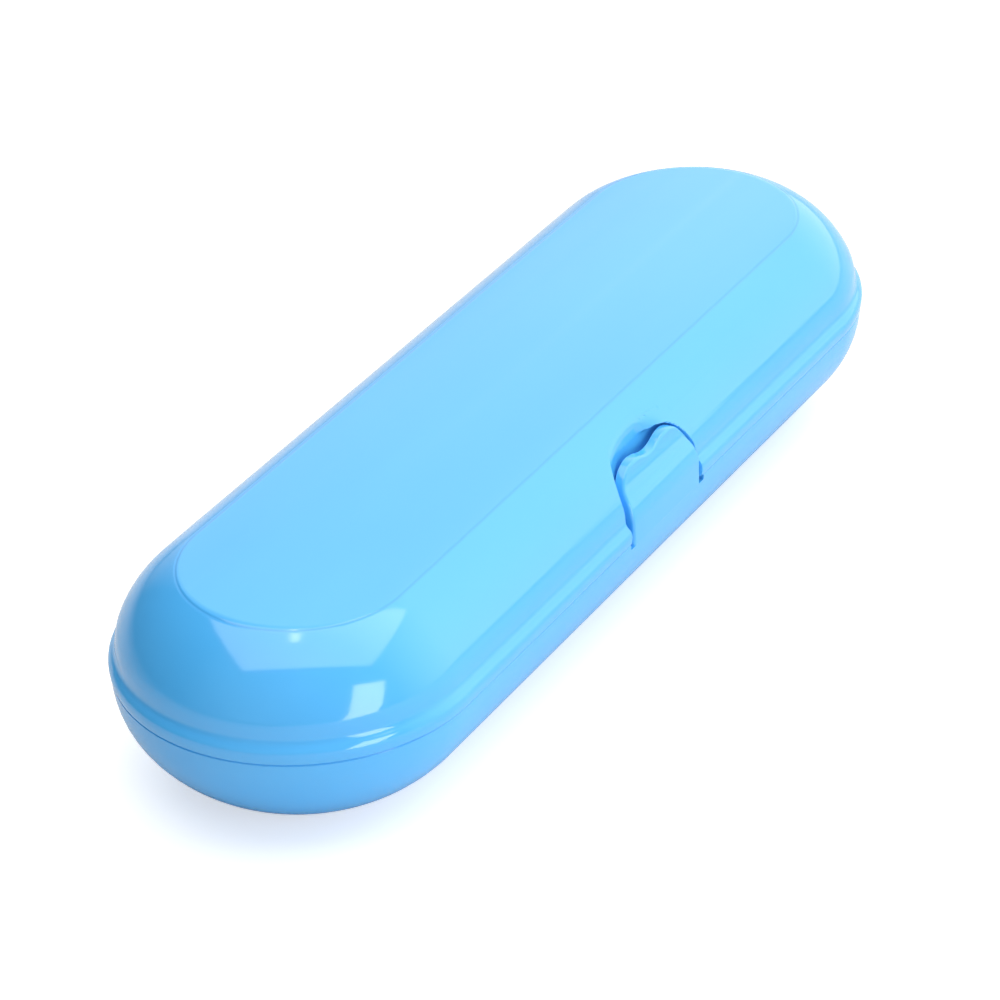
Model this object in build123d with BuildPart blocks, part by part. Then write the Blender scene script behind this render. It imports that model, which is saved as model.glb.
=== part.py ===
from build123d import *
import os
from math import asin, atan2, cos, degrees, dist, radians, sin, sqrt

# Electric toothbrush travel case: two moulded shells, two hinge pins, a snap tongue and an inner tray.
#
# Millimetres, +Z up. The origin is the middle of the flat foot, X runs along the case, the snap tongue
# is on the -Y side and the hinges are on the +Y side.

# ---------------------------------------------------------------- driving dimensions

# Whole case, closed
case_length = 225.0
case_width = 72.0
case_height = 44.2
base_height = 23.8  # height of the parting plane
wall = 2.0

seam_tuck = 0.3  # both shells draw in by this much at the parting plane

# Base bowl
foot_half_width = 8.2
bowl_bend = 0.83  # radius of the tighter of its two arcs, as a share of the run or rise it turns over

# Lid: the proud rim band, the shoulder above it and the crown
band_belly = 1.9  # the band is widest this far above the parting plane
band_bend = 3.2  # height of the double bend from there in to the foot of the shoulder
band_step = 1.5  # how far the band stands proud of the shoulder
seam_chamfer = 0.25  # along the parting plane
shoulder_run = 15.9  # inward from its foot to where its curve would level out, just above the crown
shoulder_over_crown = 0.4
shoulder_middle_bend = 0.99  # radius of the flatter arc at its middle, as a share of its chord
shoulder_middle_turn = 42.4
crown_radius = 650.0
crease_radius = 3.0  # softens the crease where the crown cuts the shoulder

# Locating lip of the base, and the rabbet of the lid that fits over it
lip_height = 1.8
lip_thickness = 1.0
lip_chamfer = 0.3
lip_clearance = 0.15
lip_top_clearance = 0.3
lip_break_clearance = 0.4

# Hinges
hinge_station = 45.0  # distance of each hinge from the middle of the case
knuckle_radius = 2.6
knuckle_to_wall = 0.3
lid_knuckle_length = 12.0
base_knuckle_length = 6.0
knuckle_gap = 0.3
knuckle_cap = 1.2  # closed end of the base knuckle nearer the middle of the case
base_gusset = 6.0
lid_gusset = 3.2
pin_radius = 1.25
pin_fit = 0.02  # radial clearance in the base's knuckles, which grip the pin
pin_running_clearance = 0.06  # radial clearance in the lid's knuckle, which turns on it
pin_end_clearance = 0.3
pin_chamfer = 0.3

# Snap tongue
tongue_half_width = 13.4
tongue_root_depth = 1.2  # the tongue springs from the rim this far below the parting plane
tongue_height = 13.5  # above the parting plane
tongue_ear = 6.5  # distance of each ear's top from the middle
tongue_scoop_depth = 1.2
tongue_shoulder = 4.2  # its sides start to round over this far above the parting plane
tongue_lean = 3.6  # how far the tongue's face leans in from root to top
tongue_lean_start = 3.2  # height above the parting plane where it starts to lean
tongue_ear_bend = 0.91  # radius of the tighter of the two arcs of its shoulders, as for the bowl
tongue_thickness = 2.1  # at the top
tongue_root_thickness = 2.6
tongue_edge_radius = 0.7

# Catch: the tongue's hook lies over a sill of the lid
sill_to_tongue = 0.4
sill_wall = 1.8
hook_reach = 0.8
hook_clearance = 0.3

# Latch notch and finger dish of the lid
notch_clearance = 1.4
sill_height = 4.0  # above the parting plane
dish_radius = 42.0
dish_depth = 4.8  # inward from the foot of the shoulder, at the height of the sill
dish_lean = 10.0  # degrees that its axis leans back
dish_height = 17.7  # above the parting plane
dish_corner_radius = 10.0  # seen from the front
dish_wall = 2.0
dish_edge_radius = 3.0  # softens the top of the dish

# Inner tray
tray_thickness = 1.4
tray_below_rim = 2.0
tray_clearance = 0.4
tray_floor_clearance = 0.3
handle_radius = 15.0  # of the toothbrush handle that the case holds
handle_clearance = 1.0
handle_well_to_side = 10.5  # from the rim of a well to the outside of the case
handle_well_to_end = 16.5
head_well_radius = 9.0
head_well_to_side = 7.6
head_well_to_end = 25.0
head_well_to_finger_well = 3.0
finger_well_radius = 8.0
finger_well_to_side = 14.0
well_corner_radius = 6.0  # in plan, of the smaller wells

# Hold-down ribs of the lid, over the handle
rib_station = 55.0
rib_thickness = 1.6
rib_half_width = 12.0
rib_to_handle = 0.6

edge_slack = 0.01  # for choosing edges by where they lie

# ---------------------------------------------------------------- places that follow from them

half_width = case_width / 2
half_straight = (case_length - case_width) / 2
rim_half_width = half_width - seam_tuck
belly_height = base_height + band_belly
shoulder_start = belly_height + band_bend
shoulder_foot = half_width - band_step
sill_top = base_height + sill_height
lip_outer = rim_half_width - wall + lip_thickness
hinge_y = half_width + knuckle_to_wall + knuckle_radius
hinge_half_length = lid_knuckle_length / 2 + knuckle_gap + base_knuckle_length
root_height = base_height - tongue_root_depth
tongue_top = base_height + tongue_height
sill_face = rim_half_width - tongue_root_thickness - sill_to_tongue
notch_half_width = tongue_half_width + notch_clearance
sill_end = notch_half_width + dish_wall  # half length of what backs the dish and the notch
seat_depth = wall + tongue_root_thickness  # cuts right through the rim behind the tongue
dish_slope = Vector(0, sin(radians(dish_lean)), cos(radians(dish_lean)))
dish_foot = Vector(0, dish_depth - shoulder_foot - dish_radius / dish_slope.Z, sill_top)
tray_deck = base_height - tray_below_rim
handle_well_radius = handle_radius + handle_clearance
handle_y = half_width - handle_well_to_side - handle_well_radius
well_axis = wall + tray_floor_clearance + tray_thickness + handle_well_radius

handle_well_end = case_length / 2 - handle_well_to_end
head_well_y = head_well_to_side + head_well_radius - half_width
head_well_inner_end = finger_well_radius + head_well_to_finger_well
head_well_outer_end = case_length / 2 - head_well_to_end
finger_well_front = finger_well_to_side - half_width


# ---------------------------------------------------------------- shapes that several pieces share


def stadium(half_breadth):
    """Plan outline of the case at a given distance from its middle line."""
    return SlotOverall(2 * (half_straight + half_breadth), 2 * half_breadth)


def stadium_solid(half_section):
    """A half section run along both straight sides and turned round both ends of the case."""
    with BuildPart() as solid:
        with BuildSketch(Plane.YZ.offset(-half_straight)):
            add(half_section)
            mirror(about=Plane.YZ)
        extrude(amount=2 * half_straight)
        for end in (-1, 1):
            with BuildSketch(Plane.YZ.offset(end * half_straight)):
                add(half_section)
            revolve(axis=Axis((end * half_straight, 0, 0), (0, 0, -end)), revolution_arc=180)
    return solid.part


def quarter_turn(run, rise, bend):
    """Two tangent arcs that turn from upright to level over a run and a rise.

    The tighter one turns into the shorter way, and its radius is a share, the bend, of it. Returns the
    radius of the arc that starts upright, that of the one that ends level, and the turn of the first.
    """
    short = min(run, rise)
    long = max(run, rise)
    tight = bend * short
    flat = (short**2 + long**2 - 2 * long * tight) / (2 * (short - tight))
    upright, level = (tight, flat) if rise < run else (flat, tight)
    return upright, level, degrees(atan2(abs(level - rise), abs(upright - run)))


def single_bend(length, offset):
    """Radius and turn of the arc that starts along a line and leaves it by an offset over a length."""
    radius = (length**2 + offset**2) / (2 * offset)
    return radius, degrees(asin(length / radius))


def double_bend(length, offset):
    """Radius and turn of the two equal arcs that shift a line sideways by an offset over a length."""
    return (length**2 + offset**2) / (4 * offset), degrees(2 * atan2(offset, length))


bowl_side_radius, bowl_floor_radius, bowl_side_turn = quarter_turn(
    rim_half_width - foot_half_width, base_height, bowl_bend
)


def bowl_section(inset, rim_chamfer=0):
    """Half section of the base's bowl, drawn inward from its outside by inset."""
    with BuildSketch() as half:
        with BuildLine():
            floor = Line((0, inset), (foot_half_width, inset))
            floor_axis = (foot_half_width, bowl_floor_radius)
            CenterArc(floor_axis, bowl_floor_radius - inset, 270, 90 - bowl_side_turn)
            side_axis = (rim_half_width - bowl_side_radius, base_height)
            rim = CenterArc(side_axis, bowl_side_radius - inset, -bowl_side_turn, bowl_side_turn) @ 1
            Polyline(rim, (0, base_height), floor @ 0)
        make_face()
        if rim_chamfer:
            chamfer(half.vertices().sort_by_distance(rim)[0], rim_chamfer)
    return half.sketch


def bowl_half_width(height, inset):
    """Half width of the bowl's upper side at a height, drawn inward by inset."""
    radius = bowl_side_radius - inset
    return rim_half_width - bowl_side_radius + sqrt(radius**2 - (base_height - height) ** 2)


def crown_solid(inset):
    """A block wider and longer than the case, whose top is the lid's crown, a long arc across the case."""
    top = case_height - inset
    with BuildPart() as crown:
        with BuildSketch(Plane.YZ.offset(-case_length)):
            with Locations((0, top - crown_radius)):
                Circle(crown_radius)
            with Locations((0, base_height)):
                Rectangle(2 * case_width, case_height, align=(Align.CENTER, Align.MIN), mode=Mode.INTERSECT)
        extrude(amount=2 * case_length)
    return crown.part


def shoulder_arcs():
    """Centre, radius, start and turn of the shoulder's three tangent arcs, the middle one the flattest.

    They turn from upright at its foot to level just above the crown. The middle arc's radius and turn
    are given, and the other two radii follow from the run and the rise that are left.
    """
    rise = case_height + shoulder_over_crown - shoulder_start
    middle = shoulder_middle_bend * dist((0, 0), (shoulder_run, rise))
    first = atan2(shoulder_run, rise) - radians(shoulder_middle_turn) / 2
    second = first + radians(shoulder_middle_turn)
    run_left = shoulder_run - middle * (cos(first) - cos(second))
    rise_left = rise - middle * (sin(second) - sin(first))
    spread = (1 - cos(first)) * (1 - sin(second)) - cos(second) * sin(first)
    lower = (run_left * (1 - sin(second)) - rise_left * cos(second)) / spread
    upper = (rise_left * (1 - cos(first)) - run_left * sin(first)) / spread
    centre = Vector(shoulder_foot, shoulder_start)
    arcs = []
    start = 0
    last_radius = 0
    for radius, end in ((lower, first), (middle, second), (upper, radians(90))):
        centre += (last_radius - radius) * Vector(cos(start), sin(start))
        arcs.append((centre, radius, degrees(start), degrees(end - start)))
        start = end
        last_radius = radius
    return arcs


def lid_solid(inset, with_band):
    """The lid as a solid block, drawn inward by inset, with or without its rim band."""
    belly_radius, belly_turn = single_bend(band_belly, seam_tuck)
    bend_radius, bend_turn = double_bend(band_bend, band_step)
    with BuildSketch() as half:
        with BuildLine():
            curves = [
                CenterArc(centre, radius - inset, start, turn)
                for centre, radius, start, turn in shoulder_arcs()
            ]
            foot = curves[0] @ 0
            end = curves[-1] @ 1
            Polyline(end, (0, end.Y), (0, base_height))
            if with_band:
                belly_axis = (half_width - belly_radius, belly_height)
                seam = CenterArc(belly_axis, belly_radius, -belly_turn, belly_turn) @ 0
                Line((0, base_height), seam)
                CenterArc((half_width - bend_radius, belly_height), bend_radius, 0, bend_turn)
                root_axis = (shoulder_foot + bend_radius, shoulder_start)
                CenterArc(root_axis, bend_radius, 180, bend_turn)
            else:
                Polyline((0, base_height), (foot.X, base_height), foot)
        make_face()
        if with_band:
            chamfer(half.vertices().sort_by_distance(seam)[0], seam_chamfer)
    shoulder = stadium_solid(half.sketch)
    crown = crown_solid(inset)
    with BuildPart() as block:
        add(shoulder)
        add(crown, mode=Mode.INTERSECT)
    return block.part


def dish_cylinder(radius):
    """The finger dish as a leaning cylinder, long enough to run out of the lid."""
    with BuildPart() as cylinder:
        with BuildSketch(Plane(origin=dish_foot, x_dir=(1, 0, 0), z_dir=dish_slope)):
            Circle(radius)
        extrude(amount=case_height, both=True)
    return cylinder.part


def knuckle_section(root, gusset_root, gusset):
    """A hinge barrel with the gusset that ties it to its shell, upward or, if negative, downward.

    Its root is buried in the shell's wall at the parting plane, and the gusset's root further along.
    """
    side = 1 if gusset > 0 else -1
    with BuildSketch() as section:
        with BuildLine():
            Polyline(
                (root, base_height),
                (hinge_y, base_height),
                (hinge_y, base_height + side * knuckle_radius),
                (gusset_root, base_height + gusset),
                (root, base_height),
            )
        make_face()
        with Locations((hinge_y, base_height)):
            Circle(knuckle_radius)
    return section.sketch


def trough(start, end, radius):
    """A half round trough between the middles of its two ends, with upright sides above its axis."""
    along = Vector(end) - Vector(start)
    across = Vector(0, 0, 1).cross(along)
    with BuildPart() as solid:
        with BuildSketch(Plane(origin=(start[0], start[1], well_axis), x_dir=across, z_dir=along)):
            Circle(radius)
            Rectangle(2 * radius, case_height, align=(Align.CENTER, Align.MIN))
        extrude(amount=along.length)
    return solid.part


def round_ended_well(half_length, side, radius, grown):
    """A trough along the case with ends as round as its floor, grown outward from its hollow."""
    reach = half_length - radius
    with BuildPart() as well:
        add(trough((-reach, side), (reach, side), radius + grown))
        for end in (-reach, reach):
            with Locations((end, side, well_axis)):
                Sphere(radius + grown)
                Cylinder(radius + grown, case_height, align=(Align.CENTER, Align.CENTER, Align.MIN))
    return well.part


def flat_ended_well(start, end, radius, grown):
    """A trough with upright ends and corners rounded in plan, grown outward from its hollow."""
    start = Vector(start)
    end = Vector(end)
    along = (end - start).normalized()
    start -= along * grown
    end += along * grown
    with BuildPart() as well:
        add(trough((start.X, start.Y), (end.X, end.Y), radius + grown))
        with BuildSketch(Plane(origin=(start + end) / 2, x_dir=along, z_dir=(0, 0, 1))):
            RectangleRounded((end - start).length, 2 * (radius + grown), well_corner_radius + grown)
        extrude(amount=2 * case_height, mode=Mode.INTERSECT)
    return well.part


def tray_wells(grown):
    """All the tray's wells as solids, grown outward: one for the handle, two for heads, one for fingers."""
    wells = [
        round_ended_well(handle_well_end, handle_y, handle_well_radius, grown),
        flat_ended_well((0, finger_well_front), (0, handle_y), finger_well_radius, grown),
    ]
    for side in (-1, 1):
        start = (side * head_well_inner_end, head_well_y)
        end = (side * head_well_outer_end, head_well_y)
        wells.append(flat_ended_well(start, end, head_well_radius, grown))
    return wells


# ---------------------------------------------------------------- the pieces


def make_base_shell():
    """Bowl with a flat foot, a locating lip, the tongue's seat in its rim and four hinge knuckles."""
    outside = stadium_solid(bowl_section(0, seam_chamfer))
    inside = stadium_solid(bowl_section(wall))
    with BuildSketch() as lip_half:
        with Locations((rim_half_width - wall, base_height - wall)):
            Rectangle(lip_thickness, wall + lip_height, align=Align.MIN)
        chamfer(lip_half.vertices().group_by(Axis.Y)[-1], lip_chamfer)
    lip = stadium_solid(lip_half.sketch)
    gusset_root = bowl_half_width(base_height - base_gusset, 0) - wall / 2
    knuckle = knuckle_section(rim_half_width - wall / 2, gusset_root, -base_gusset)
    knuckle_offset = hinge_half_length - base_knuckle_length
    with BuildPart() as base_shell:
        add(outside)
        add(inside, mode=Mode.SUBTRACT)
        add(lip)
        # Seat of the snap tongue in the rim, and the wider break in the lip beside the lid's dish
        for half_breadth, bottom in (
            (notch_half_width, root_height),
            (sill_end + lip_break_clearance, base_height),
        ):
            with BuildSketch(Plane.XY.offset(bottom)):
                with Locations((0, -half_width)):
                    Rectangle(2 * half_breadth, 2 * seat_depth)
            extrude(amount=case_height, mode=Mode.SUBTRACT)
        for station in (-hinge_station, hinge_station):
            for first in (station - hinge_half_length, station + knuckle_offset):
                with BuildSketch(Plane.YZ.offset(first)):
                    add(knuckle)
                extrude(amount=base_knuckle_length)
            # Pin hole, open at the end away from the middle of the case
            outward = 1 if station > 0 else -1
            with BuildSketch(Plane.YZ.offset(station + outward * hinge_half_length)):
                with Locations((hinge_y, base_height)):
                    Circle(pin_radius + pin_fit)
            extrude(amount=-outward * (2 * hinge_half_length - knuckle_cap), mode=Mode.SUBTRACT)
    base_shell.part.label = "base_shell"
    export_step(base_shell.part, "parts/base_shell.step")


def make_lid_shell():
    """Crowned lid with rim band, finger dish, sill for the hook, hold-down ribs and hinge knuckles."""
    outside = lid_solid(0, with_band=True)
    middle_of_wall = lid_solid(wall / 2, with_band=False)
    inside = lid_solid(wall, with_band=False)
    with BuildPart() as dish_backing:
        add(middle_of_wall)
        add(dish_cylinder(dish_radius + dish_wall), mode=Mode.INTERSECT)
        with BuildSketch(Plane.XY.offset(base_height)):
            with Locations((0, -half_width)):
                Rectangle(2 * sill_end, case_width)
        extrude(amount=case_height, mode=Mode.INTERSECT)
    with BuildPart() as dish:
        add(dish_cylinder(dish_radius))
        with BuildSketch(Plane.XZ):
            with Locations((0, base_height + dish_height)):
                RectangleRounded(
                    2 * notch_half_width,
                    2 * dish_height,
                    dish_corner_radius,
                    align=(Align.CENTER, Align.MAX),
                )
            with Locations((0, sill_top - case_height)):
                Rectangle(case_width, 2 * case_height, mode=Mode.SUBTRACT)
        extrude(amount=case_width, mode=Mode.INTERSECT)
    with BuildPart() as ribs:
        for station in (-rib_station, rib_station):
            with BuildSketch(Plane.YZ.offset(station - rib_thickness / 2)):
                with Locations((handle_y, well_axis - handle_clearance)):
                    Rectangle(2 * rib_half_width, case_height, align=(Align.CENTER, Align.MIN))
                    Circle(handle_radius + rib_to_handle, mode=Mode.SUBTRACT)
            extrude(amount=rib_thickness)
        add(middle_of_wall, mode=Mode.INTERSECT)
    knuckle_root = (rim_half_width + lip_outer + lip_clearance) / 2
    knuckle = knuckle_section(knuckle_root, knuckle_root, lid_gusset)
    with BuildPart() as lid_shell:
        add(outside)
        crown = lid_shell.faces().sort_by(Axis.Z)[-1]
        fillet(crown.edges(), crease_radius)
        add(inside, mode=Mode.SUBTRACT)
        add(dish_backing.part)
        add(ribs.part)
        # Rabbet over the base's lip
        with BuildSketch(Plane.XY.offset(base_height)):
            stadium(lip_outer + lip_clearance)
            with Locations((0, -half_width)):
                Rectangle(2 * sill_end, case_width, mode=Mode.SUBTRACT)
        extrude(amount=lip_height + lip_top_clearance, mode=Mode.SUBTRACT)
        # Finger dish, down to the sill that the hook lies over
        add(dish.part, mode=Mode.SUBTRACT)
        # Notch in the rim band for the tongue, in front of the sill
        with BuildSketch(Plane.XY.offset(base_height)):
            with Locations((0, -sill_face)):
                Rectangle(2 * notch_half_width, case_width, align=(Align.CENTER, Align.MAX))
        extrude(amount=sill_height, mode=Mode.SUBTRACT)
        # The sill is cored from below to an even wall
        with BuildSketch(Plane.XY.offset(base_height)):
            with Locations((0, sill_wall - sill_face)):
                Rectangle(2 * (notch_half_width - sill_wall), half_width, align=(Align.CENTER, Align.MIN))
        extrude(amount=sill_height - wall, mode=Mode.SUBTRACT)
        fillet(lid_shell.edges().filter_by(on_dish_arch), dish_edge_radius)
        for station in (-hinge_station, hinge_station):
            with BuildSketch(Plane.YZ.offset(station - lid_knuckle_length / 2)):
                add(knuckle)
            extrude(amount=lid_knuckle_length)
            with BuildSketch(Plane.YZ.offset(station - lid_knuckle_length / 2)):
                with Locations((hinge_y, base_height)):
                    Circle(pin_radius + pin_running_clearance)
            extrude(amount=lid_knuckle_length, mode=Mode.SUBTRACT)
    lid_shell.part.label = "lid_shell"
    export_step(lid_shell.part, "parts/lid_shell.step")


def on_dish_arch(edge):
    """True of the edge where the finger dish runs out into the lid's shoulder."""
    middle = edge.position_at(0.5)
    from_foot = middle - dish_foot
    from_axis = (from_foot - dish_slope * from_foot.dot(dish_slope)).length
    on_dish = abs(from_axis - dish_radius) < edge_slack
    return on_dish and abs(middle.X) < edge_slack and middle.Z > sill_top + edge_slack


def make_latch_tongue():
    """Snap tongue with two ears, a scooped top edge and a hook behind it."""
    face_top = tongue_lean - rim_half_width
    back_top = face_top + tongue_thickness
    root_face = -bowl_half_width(root_height, 0)
    root_back = tongue_root_thickness - rim_half_width
    hook_height = sill_top + hook_clearance
    hook_tip = -sill_face + hook_reach
    root_turn = degrees(asin(tongue_root_depth / bowl_side_radius))
    lean_foot = base_height + tongue_lean_start
    lean_radius, lean_turn = double_bend(tongue_top - lean_foot, tongue_lean)
    shoulder = base_height + tongue_shoulder
    side_radius, ear_radius, ear_turn = quarter_turn(
        tongue_half_width - tongue_ear, tongue_top - shoulder, tongue_ear_bend
    )
    scoop = tongue_top - tongue_scoop_depth
    scoop_radius, scoop_turn = double_bend(tongue_ear, tongue_scoop_depth)
    with BuildPart() as latch_tongue:
        with BuildSketch(Plane.YZ.offset(-tongue_half_width)):
            with BuildLine():
                root_axis = (bowl_side_radius - rim_half_width, base_height)
                CenterArc(root_axis, bowl_side_radius, 180, root_turn)
                Line((-rim_half_width, base_height), (-rim_half_width, lean_foot))
                CenterArc((lean_radius - rim_half_width, lean_foot), lean_radius, 180, -lean_turn)
                CenterArc((face_top - lean_radius, tongue_top), lean_radius, -lean_turn, lean_turn)
                Polyline(
                    (face_top, tongue_top),
                    (back_top, tongue_top),
                    (hook_tip, hook_height),
                    (root_back, hook_height),
                    (root_back, root_height),
                    (root_face, root_height),
                )
            make_face()
        extrude(amount=2 * tongue_half_width)
        # Front outline: round shoulders up to the ears and a scoop between them
        with BuildSketch(Plane.XZ):
            with BuildLine():
                Polyline(
                    (0, scoop),
                    (0, root_height),
                    (tongue_half_width, root_height),
                    (tongue_half_width, shoulder),
                )
                CenterArc((tongue_half_width - side_radius, shoulder), side_radius, 0, ear_turn)
                CenterArc((tongue_ear, tongue_top - ear_radius), ear_radius, ear_turn, 90 - ear_turn)
                CenterArc((tongue_ear, tongue_top - scoop_radius), scoop_radius, 90, scoop_turn)
                CenterArc((0, scoop + scoop_radius), scoop_radius, 270, scoop_turn)
            make_face()
            mirror(about=Plane.YZ)
        extrude(amount=case_width, mode=Mode.INTERSECT)
        fillet(latch_tongue.edges().filter_by(on_tongue_front), tongue_edge_radius)
    latch_tongue.part.label = "latch_tongue"
    export_step(latch_tongue.part, "parts/latch_tongue.step")


def on_tongue_front(edge):
    """True of the edges round the tongue's front face, from its root up and over the ears."""
    middle = edge.position_at(0.5)
    front = middle.Y < tongue_lean - rim_half_width + edge_slack
    side = abs(middle.X) > tongue_half_width - edge_slack and middle.Z > root_height + edge_slack
    top = middle.Z > tongue_top - tongue_scoop_depth - edge_slack
    return front and (side or top)


def make_hinge_pin(side, outward):
    """Steel pin with chamfered ends, from the closed end of its hole to the open one."""
    inner_end = hinge_station - hinge_half_length + knuckle_cap + pin_end_clearance
    length = 2 * hinge_half_length - knuckle_cap - 2 * pin_end_clearance
    with BuildPart() as hinge_pin:
        with BuildSketch(Plane.YZ.offset(outward * inner_end)):
            with Locations((hinge_y, base_height)):
                Circle(pin_radius)
        extrude(amount=outward * length)
        chamfer(hinge_pin.edges().filter_by(GeomType.CIRCLE), pin_chamfer)
    hinge_pin.part.label = "hinge_pin_" + side
    export_step(hinge_pin.part, "parts/hinge_pin_" + side + ".step")


def make_inner_tray():
    """Moulded insert with a well for the handle, two for brush heads and one for the fingers."""
    deck_bottom = tray_deck - tray_thickness
    linings = tray_wells(tray_thickness)
    hollows = tray_wells(0)
    with BuildPart() as inner_tray:
        with BuildSketch(Plane.XY.offset(deck_bottom)):
            stadium(bowl_half_width(deck_bottom, wall) - tray_clearance)
        extrude(amount=tray_thickness)
        for lining in linings:
            add(lining)
        split(bisect_by=Plane.XY.offset(tray_deck), keep=Keep.BOTTOM)
        for hollow in hollows:
            add(hollow, mode=Mode.SUBTRACT)
    inner_tray.part.label = "inner_tray"
    export_step(inner_tray.part, "parts/inner_tray.step")


os.makedirs("parts", exist_ok=True)
make_base_shell()
make_lid_shell()
make_latch_tongue()
make_hinge_pin("left", -1)
make_hinge_pin("right", 1)
make_inner_tray()
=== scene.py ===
import math
import bmesh
import bpy
from mathutils import Matrix, Quaternion, Vector
from mathutils.bvhtree import BVHTree


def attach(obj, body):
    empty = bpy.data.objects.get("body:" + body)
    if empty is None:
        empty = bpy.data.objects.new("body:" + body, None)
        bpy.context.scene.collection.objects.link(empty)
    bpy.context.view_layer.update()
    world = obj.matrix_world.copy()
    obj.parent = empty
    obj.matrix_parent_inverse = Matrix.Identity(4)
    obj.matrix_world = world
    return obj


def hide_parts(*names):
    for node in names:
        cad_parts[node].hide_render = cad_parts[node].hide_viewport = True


# Looks of the electric toothbrush travel case: its finishes, the studio and the camera.
#
# Metres, +Z up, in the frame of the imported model: X runs along the case, the snap tongue is on the
# -Y side, and the floor is at zero.

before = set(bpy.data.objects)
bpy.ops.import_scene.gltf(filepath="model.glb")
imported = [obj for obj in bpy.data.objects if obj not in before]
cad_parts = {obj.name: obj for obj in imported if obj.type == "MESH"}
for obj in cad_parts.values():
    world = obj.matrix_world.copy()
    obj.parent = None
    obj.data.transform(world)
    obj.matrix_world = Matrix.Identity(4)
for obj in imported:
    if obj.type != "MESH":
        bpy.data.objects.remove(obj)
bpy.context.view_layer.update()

# ---------------------------------------------------------------- smooth pieces

SMOOTH_TURN = math.radians(30)  # faces that meet at less than this shade as one surface
MERGED = 0.000002  # corners closer than this become one


def corner_normal(loop):
    """Mean normal at a face's corner of the faces that turn little from it, by their angles there."""
    flat = loop.face.normal
    total = Vector()
    for other in loop.vert.link_loops:
        if other.face.normal.dot(flat) > math.cos(SMOOTH_TURN):
            total += other.face.normal * other.calc_angle()
    return total.normalized()


def eased(value, low, high):
    """0 to 1, with level ends, as a value goes from low to high."""
    share = min(max((value - low) / (high - low), 0.0), 1.0)
    return share * share * (3 - 2 * share)


SEAM = 0.0238  # height of the rim where the lid meets the base
DISH_LOW = Vector((-0.0165, -0.040, 0.02375))  # corners of the box round the finger dish
DISH_HIGH = Vector((0.0165, -0.024, 0.0430))
DISH_MIDDLE = 0.0335  # height of the dish's middle
DISH_EDGE = 0.0004  # longer edges in the dish are halved
DISH_CUTS = 6  # at most so many times
EASED_FROM = 0.001  # X where the dish starts to run out to the lid's face
EASED_TO = 0.009  # X where it has reached it
GAP_FROM = 0.0001  # distance from the tongue's outline where it starts to
GAP_TO = 0.0006  # distance where it has reached it
CLEAR = 0.0001  # start of a ray in front of the surface that it leaves
CLEAR_INWARD = 0.0003  # and towards the dish's middle, off its side wall
PLAIN_SIDE = 0.020  # X where the lid's front has no dish
TONGUE_HALF_WIDTH = 0.0134
TONGUE_EAR = 0.0065  # X where its rounded shoulder starts
TONGUE_SHOULDER = 0.0280  # height where it starts
TONGUE_TOP = 0.0373


def in_dish(point):
    """Whether a point is in the box round the finger dish."""
    return all(low < part < high for low, part, high in zip(DISH_LOW, point, DISH_HIGH))


def outside_tongue(x, z):
    """About how far a point of the front view is outside the tongue."""
    wide = TONGUE_HALF_WIDTH - TONGUE_EAR
    tall = TONGUE_TOP - TONGUE_SHOULDER
    across = max(abs(x) - TONGUE_EAR, 0.0) / wide
    up = max(z - TONGUE_SHOULDER, 0.0) / tall
    return (math.hypot(across, up) - 1) * (wide + tall) / 2


def refine_dish(form):
    """Halves the long edges in the finger dish until its shape can change smoothly."""
    for _ in range(DISH_CUTS):
        coarse = [
            edge
            for edge in form.edges
            if edge.calc_length() > DISH_EDGE and all(in_dish(vertex.co) for vertex in edge.verts)
        ]
        bmesh.ops.subdivide_edges(form, edges=coarse, cuts=1)
        bmesh.ops.triangulate(form, faces=[face for face in form.faces if len(face.verts) > 3])


def ease_dish(form):
    """Runs the finger dish out to the lid's face above and right of the tongue, up to a narrow gap."""
    lid = BVHTree.FromBMesh(form)
    refine_dish(form)
    forward = Vector((0.0, -1.0, 0.0))
    for vertex in form.verts:
        x, y, z = vertex.co
        inward = Vector((-x, 0.0, DISH_MIDDLE - z)).normalized()
        start = vertex.co + CLEAR_INWARD * inward + CLEAR * forward
        if not in_dish(vertex.co) or lid.ray_cast(start, forward)[0]:
            continue
        before_plain_side = Vector((PLAIN_SIDE, -0.1, max(z, SEAM + CLEAR)))
        face_y = lid.ray_cast(before_plain_side, -forward)[0].y
        raised = eased(x, EASED_FROM, EASED_TO) * eased(outside_tongue(x, z), GAP_FROM, GAP_TO)
        vertex.co.y = y - raised * max(y - face_y, 0.0)


def smooth_piece(node_name, body, change=None):
    """A smooth copy of a CAD node's mesh that stands for the node, with a change of form if given."""
    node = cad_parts[node_name]
    mesh = node.data.copy()
    mesh.transform(node.matrix_world)
    form = bmesh.new()
    form.from_mesh(mesh)
    bmesh.ops.remove_doubles(form, verts=form.verts, dist=MERGED)
    if change:
        change(form)
    form.normal_update()
    normals = [corner_normal(loop) for face in form.faces for loop in face.loops]
    form.to_mesh(mesh)
    form.free()
    mesh.shade_smooth()
    mesh.normals_split_custom_set(normals)
    piece = bpy.data.objects.new(node_name + "_smooth", mesh)
    bpy.context.scene.collection.objects.link(piece)
    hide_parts(node_name)
    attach(piece, body)
    return piece


# ---------------------------------------------------------------- finishes


class Value:
    """A shader socket that can be used in Python expressions."""

    def __init__(self, finish, socket):
        self.finish = finish
        self.socket = socket

    def maths(self, operation, *others):
        return self.finish.maths(operation, self, *others)

    def __add__(self, other):
        return self.maths("ADD", other)

    def __mul__(self, other):
        return self.maths("MULTIPLY", other)

    def __sub__(self, other):
        return self.maths("SUBTRACT", other)

    def __rsub__(self, other):
        return self.finish.maths("SUBTRACT", other, self)

    __radd__ = __add__
    __rmul__ = __mul__


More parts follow.
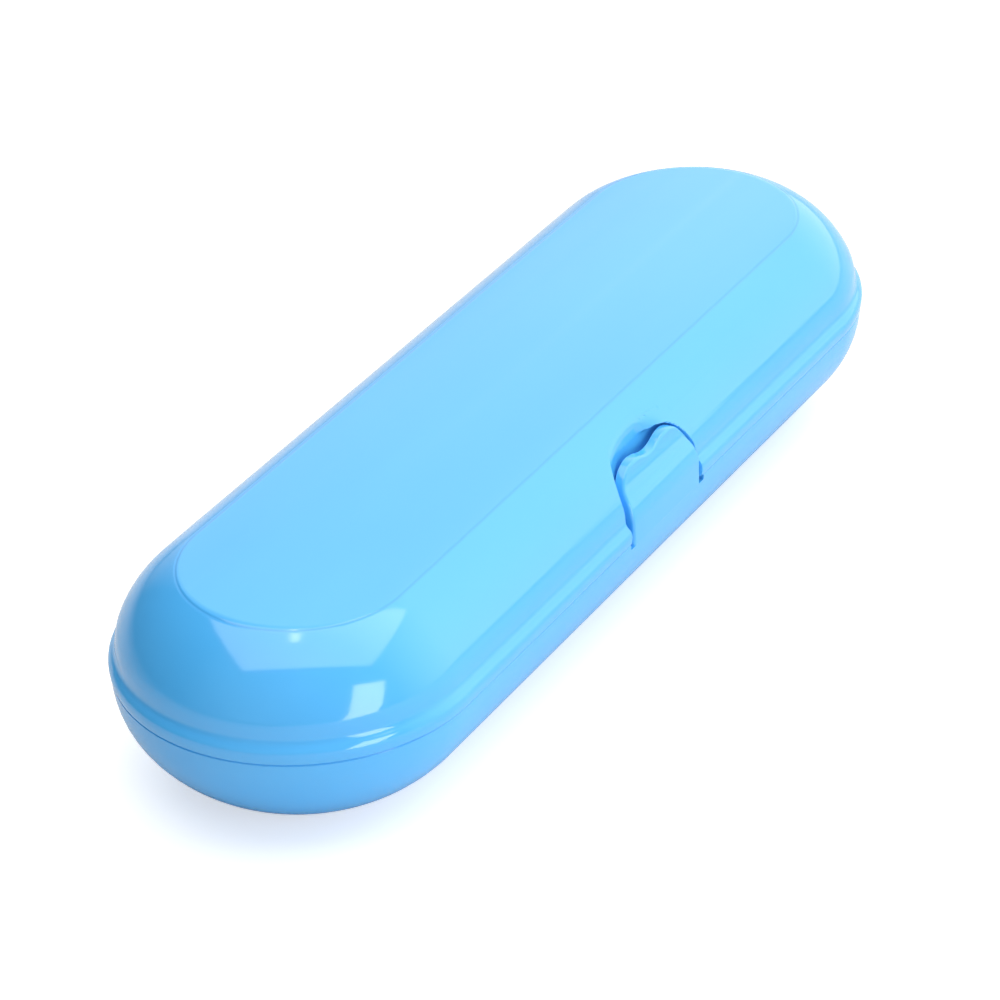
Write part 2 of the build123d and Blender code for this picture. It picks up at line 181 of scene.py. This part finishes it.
class Finish:
    """A node material with one method that adds any node."""

    def __init__(self, name, world=None):
        self.material = world or bpy.data.materials.new(name)
        self.material.use_nodes = True
        self.tree = self.material.node_tree
        self.tree.nodes.clear()

    def node(self, kind, settings=None, sockets=None):
        """Adds a node: its settings are set first, then its sockets, by name or number, set or linked."""
        node = self.tree.nodes.new(kind)
        for name, value in (settings or {}).items():
            setattr(node, name, value)
        for name, value in (sockets or {}).items():
            if isinstance(value, Value):
                self.tree.links.new(value.socket, node.inputs[name])
            else:
                node.inputs[name].default_value = value
        return node

    def value(self, node, output=0):
        return Value(self, node.outputs[output])

    def maths(self, operation, *numbers):
        node = self.node("ShaderNodeMath", {"operation": operation}, dict(enumerate(numbers)))
        return self.value(node)

    def place(self):
        """Object coordinates, in metres."""
        return self.value(self.node("ShaderNodeTexCoord"), "Object")

    def stretched(self, vector, scale):
        """A vector with each axis times its scale, so that a pattern runs along the axis scaled least."""
        node = self.node("ShaderNodeMapping", None, {"Vector": vector, "Scale": scale})
        return self.value(node)

    def noise(self, vector, scale, detail=2.0, roughness=0.5):
        """Noise from 0 to 1 with this many waves per metre."""
        sockets = {"Vector": vector, "Scale": scale, "Detail": detail, "Roughness": roughness}
        return self.value(self.node("ShaderNodeTexNoise", None, sockets))

    def spread(self, value, low, high, to_low=0.0, to_high=1.0):
        """Maps a stretch of a value to another, clamped."""
        sockets = {"Value": value, 1: low, 2: high, 3: to_low, 4: to_high}
        return self.value(self.node("ShaderNodeMapRange", {"clamp": True}, sockets))

    def facing(self, vector, direction, low, high):
        """0 to 1 as a vector turns towards a direction, between these cosines."""
        dot = self.node("ShaderNodeVectorMath", {"operation": "DOT_PRODUCT"}, {0: vector, 1: direction})
        return self.spread(self.value(dot, "Value"), low, high)

    def mixed(self, factor, first, second):
        """One colour at a factor of 0 and another at 1."""
        settings = {"data_type": "RGBA"}
        node = self.node("ShaderNodeMix", settings, {0: factor, 6: first, 7: second})
        return self.value(node, 2)

    def edges(self, radius):
        """About 0 on smooth surfaces, rising towards 1 on sharp edges."""
        rounded = self.value(self.node("ShaderNodeBevel", {"samples": 4}, {"Radius": radius}))
        true = self.value(self.node("ShaderNodeNewGeometry"), "Normal")
        dot = self.node("ShaderNodeVectorMath", {"operation": "DOT_PRODUCT"}, {0: rounded, 1: true})
        return 1.0 - self.value(dot, "Value")

    def bump(self, height, distance, normal=None):
        """A surface normal from a height of 0 to 1, this many metres deep."""
        sockets = {"Height": height, "Distance": distance}
        if normal:
            sockets["Normal"] = normal
        return self.value(self.node("ShaderNodeBump", None, sockets))

    def finished(self, **sockets):
        """Ends the material in one Principled shader. Socket names have _ for a space."""
        named = {name.replace("_", " "): value for name, value in sockets.items()}
        shader = self.value(self.node("ShaderNodeBsdfPrincipled", None, named))
        self.node("ShaderNodeOutputMaterial", None, {"Surface": shader})
        return self.material


def colour(red, green, blue):
    """A shader colour from a screen colour of 0 to 255."""
    linear = []
    for part in (red, green, blue):
        share = part / 255
        linear.append(share / 12.92 if share < 0.04045 else ((share + 0.055) / 1.055) ** 2.4)
    return (*linear, 1.0)


def glossy_blue_plastic(name, creased=False):
    """Polished sky blue polypropylene: slight flow marks, faint handling haze, edges a touch paler; when
    creased, painted shade darkens the fine groove along the lid's top crease.
    """
    finish = Finish(name)
    place = finish.place()
    flow = finish.noise(finish.stretched(place, (0.35, 1.0, 1.0)), 26.0, 3.0, 0.55)
    haze = finish.noise(place, 90.0, 5.0, 0.6)
    grain = finish.noise(place, 5200.0, 2.0)
    ripple = finish.noise(place, 60.0, 1.0)
    worn = finish.spread(finish.edges(0.0004), 0.02, 0.35)
    body = finish.mixed(finish.spread(flow, 0.3, 0.7), colour(77, 181, 249), colour(83, 186, 251))
    pale = worn * finish.spread(haze, 0.35, 0.75, 0.0, 0.35)
    tinted = finish.mixed(pale, body, colour(150, 213, 249))
    sheen = finish.spread(haze, 0.35, 0.75, 0.08, 0.14) + worn * 0.12
    surface = finish.bump(ripple, 0.00003)
    surface = finish.bump(grain, 0.0000006, surface)
    if creased:
        groove = crease_groove(finish, place)
        # Painted shade: a darker blue is mixed into the crease groove in place of the shade that falls in
        # it.
        tinted = finish.mixed(groove * 0.35, tinted, colour(46, 140, 214))
        surface = finish.bump(1.0 - groove, 0.00006, surface)
    return finish.finished(
        Base_Color=tinted,
        Roughness=sheen,
        Normal=surface,
        IOR=1.49,
        Specular_IOR_Level=0.9,
    )


MIDDLE_LINE = 0.0765  # half the length of the case's middle line, between its round ends
CREASE_DISTANCE = 0.0223  # of the lid's top crease from that line
CREASE_BELOW = 0.0430  # height that the crease is above, all along
GROOVE_HALF_WIDTH = 0.0004


def crease_groove(finish, place):
    """1 in the fine groove along the lid's top crease, and 0 away from it: where the groove's bump and
    its painted shade go.
    """
    node = finish.node("ShaderNodeSeparateXYZ", None, {0: place})
    along, across, height = (finish.value(node, axis) for axis in range(3))
    past_end = (along.maths("ABSOLUTE") - MIDDLE_LINE).maths("MAXIMUM", 0.0)
    distance = (past_end * past_end + across * across).maths("SQRT")
    away = (distance - CREASE_DISTANCE).maths("ABSOLUTE")
    groove = finish.spread(away, 0.0, GROOVE_HALF_WIDTH, 1.0, 0.0)
    return groove * height.maths("GREATER_THAN", CREASE_BELOW)


def satin_tray_plastic():
    """Pale grey satin moulding: fine spark-eroded texture and slightly worn well rims."""
    finish = Finish("satin_tray_plastic")
    place = finish.place()
    texture = finish.noise(place, 2600.0, 3.0, 0.6)
    tone = finish.noise(place, 34.0, 3.0)
    worn = finish.spread(finish.edges(0.0005), 0.03, 0.4)
    body = finish.mixed(finish.spread(tone, 0.3, 0.7), colour(204, 213, 220), colour(213, 221, 227))
    tinted = finish.mixed(worn * 0.35, body, colour(226, 232, 236))
    sheen = finish.spread(texture, 0.3, 0.7, 0.38, 0.5) - worn * 0.1
    return finish.finished(
        Base_Color=tinted, Roughness=sheen, Normal=finish.bump(texture, 0.00001), IOR=1.49
    )


def ground_steel():
    """Hinge pin ground round its axis."""
    finish = Finish("ground_steel")
    place = finish.place()
    rings = finish.noise(finish.stretched(place, (1.0, 0.02, 0.02)), 9000.0, 3.0)
    smear = finish.noise(place, 400.0, 3.0)
    body = finish.mixed(rings, colour(176, 178, 182), colour(206, 208, 211))
    sheen = finish.spread(rings, 0.3, 0.7, 0.2, 0.34) + smear * 0.06
    return finish.finished(
        Base_Color=body, Metallic=1.0, Roughness=sheen, Normal=finish.bump(rings, 0.000003)
    )


SHELL = glossy_blue_plastic("glossy_blue_plastic")
CREASED_SHELL = glossy_blue_plastic("creased_blue_plastic", creased=True)
TRAY = satin_tray_plastic()
PIN = ground_steel()

PIECES = {
    "base_shell": ("base", "shell_plastic", SHELL),
    "lid_shell": ("lid", "shell_plastic", CREASED_SHELL),
    "latch_tongue": ("latch", "shell_plastic", SHELL),
    "inner_tray": ("base", "tray_plastic", TRAY),
    "hinge_pin_left": ("base", "pin_steel", PIN),
    "hinge_pin_right": ("base", "pin_steel", PIN),
}
for node_name, (body, slot_name, material) in PIECES.items():
    piece = smooth_piece(node_name, body, ease_dish if node_name == "lid_shell" else None)
    piece.data.materials.clear()
    piece.data.materials.append(material)

# ---------------------------------------------------------------- studio

WINDOW_AIM = 0.03  # height above the floor's middle that the window lamp faces
FLOOR_SIZE = 6.0
FLOOR_WHITE = 1.35  # paper and glow together, where the camera sees the floor
PAPER = 0.8  # how white the floor's paper is near the case
DARK_PAPER = 0.35  # and on its dark side
DARK_SIDE = (-0.6, 0.8, 0.0)
DARK_FROM = 0.08  # metres towards the dark side where the paper starts to darken
DARK_TO = 0.40
DIM_WALLS = 0.14  # light from the studio away from its bright sides
BACKDROP = 1.85
BACKDROP_SIDE = (0.98, -0.17, 0.1)  # direction of its middle, seen from the case
FILL = 0.42
FILL_SIDE = (-0.62, -0.78, 0.1)


def make_world():
    """White to the camera, with a bright backdrop on the +X side and a weak fill on the -Y side."""
    world = bpy.data.worlds.new("studio")
    bpy.context.scene.world = world
    sky = Finish("studio", world)
    path = sky.node("ShaderNodeLightPath")
    seen = sky.value(path, "Is Camera Ray").maths("MAXIMUM", sky.value(path, "Is Transmission Ray"))
    look = sky.value(sky.node("ShaderNodeTexCoord"), "Generated")
    backdrop = sky.facing(look, BACKDROP_SIDE, 0.2, 0.8) * BACKDROP
    fill = sky.facing(look, FILL_SIDE, -0.1, 0.7) * FILL
    walls = backdrop + fill + DIM_WALLS
    strength = walls + seen * (1.0 - walls)
    light = sky.value(sky.node("ShaderNodeBackground", None, {"Strength": strength}))
    sky.node("ShaderNodeOutputWorld", None, {"Surface": light})


def make_floor():
    """Matt floor, white to the camera, that keeps the case's soft shadow and is dark on one side."""
    half = FLOOR_SIZE / 2
    mesh = bpy.data.meshes.new("floor")
    corners = [(-half, -half, 0), (half, -half, 0), (half, half, 0), (-half, half, 0)]
    mesh.from_pydata(corners, [], [(0, 1, 2, 3)])
    floor = bpy.data.objects.new("floor", mesh)
    bpy.context.scene.collection.objects.link(floor)
    finish = Finish("white_floor")
    path = finish.node("ShaderNodeLightPath")
    seen = finish.value(path, "Is Camera Ray")
    sockets = {0: finish.place(), 1: DARK_SIDE}
    towards = finish.node("ShaderNodeVectorMath", {"operation": "DOT_PRODUCT"}, sockets)
    paper = finish.spread(finish.value(towards, "Value"), DARK_FROM, DARK_TO, PAPER, DARK_PAPER)
    diffuse = finish.value(finish.node("ShaderNodeBsdfDiffuse", None, {"Color": paper}))
    strength = seen * (FLOOR_WHITE - paper)
    glow = finish.value(finish.node("ShaderNodeEmission", None, {"Strength": strength}))
    lit = finish.value(finish.node("ShaderNodeAddShader", None, {0: diffuse, 1: glow}))
    finish.node("ShaderNodeOutputMaterial", None, {"Surface": lit})
    mesh.materials.append(finish.material)


def soft_box(name, place, aim, size, brightness, roll=0.0):
    """A rectangular light at a place, that faces another and looks as bright as so many whites."""
    data = bpy.data.lights.new(name, "AREA")
    data.shape = "RECTANGLE"
    data.size, data.size_y = size
    data.energy = brightness * math.pi * size[0] * size[1]
    light = bpy.data.objects.new(name, data)
    back = (Vector(place) - Vector(aim)).normalized()
    light.location = place
    light.rotation_mode = "QUATERNION"
    rolled = Quaternion((0, 0, 1), math.radians(roll))
    light.rotation_quaternion = back.to_track_quat("Z", "Y") @ rolled
    bpy.context.scene.collection.objects.link(light)


def around(azimuth, elevation, distance):
    """The point in this direction from the window lamp's aim, in degrees and metres."""
    turn, lift = math.radians(azimuth), math.radians(elevation)
    level = distance * math.cos(lift)
    return (level * math.cos(turn), level * math.sin(turn), WINDOW_AIM + distance * math.sin(lift))


make_world()
make_floor()
soft_box("window", around(-113.5, 13, 1.2), (0, 0, WINDOW_AIM), (0.40, 0.86), 3.9, roll=-19)
soft_box("overhead", (-0.04, -0.11, 1.13), (-0.04, -0.11, 0), (1.19, 1.62), 1.75, roll=32)
soft_box("lamp", (-0.03, 0.08, 1.1), (-0.03, 0.08, 0), (0.28, 0.06), 5.0, roll=32)

# ---------------------------------------------------------------- camera

CAMERA_TARGET = Vector((-0.00966, -0.00327, 0.02191))
CAMERA_DISTANCE = 0.8347
CAMERA_AZIMUTH = math.radians(-58.53)  # from straight before the tongue, positive towards +X
CAMERA_ELEVATION = math.radians(31.68)
CAMERA_ROLL = math.radians(-2.06)
CAMERA_LENS = 152.4  # millimetres, on a 36 mm sensor


def make_camera():
    """The camera, at its distance from the target in the direction of its azimuth and elevation."""
    level = math.cos(CAMERA_ELEVATION)
    back = Vector(
        (
            math.sin(CAMERA_AZIMUTH) * level,
            -math.cos(CAMERA_AZIMUTH) * level,
            math.sin(CAMERA_ELEVATION),
        )
    )
    right = Vector((math.cos(CAMERA_AZIMUTH), math.sin(CAMERA_AZIMUTH), 0.0))
    up = back.cross(right)
    turned_right = math.cos(CAMERA_ROLL) * right + math.sin(CAMERA_ROLL) * up
    turned_up = back.cross(turned_right)
    camera_data = bpy.data.cameras.new("camera")
    camera_data.lens = CAMERA_LENS
    camera_data.sensor_width = 36.0
    camera = bpy.data.objects.new("camera", camera_data)
    columns = Matrix((turned_right, turned_up, back)).transposed()
    place = CAMERA_TARGET + CAMERA_DISTANCE * back
    camera.matrix_world = Matrix.Translation(place) @ columns.to_4x4()
    bpy.context.scene.collection.objects.link(camera)
    bpy.context.scene.camera = camera


make_camera()
bpy.context.scene.view_settings.view_transform = "Standard"
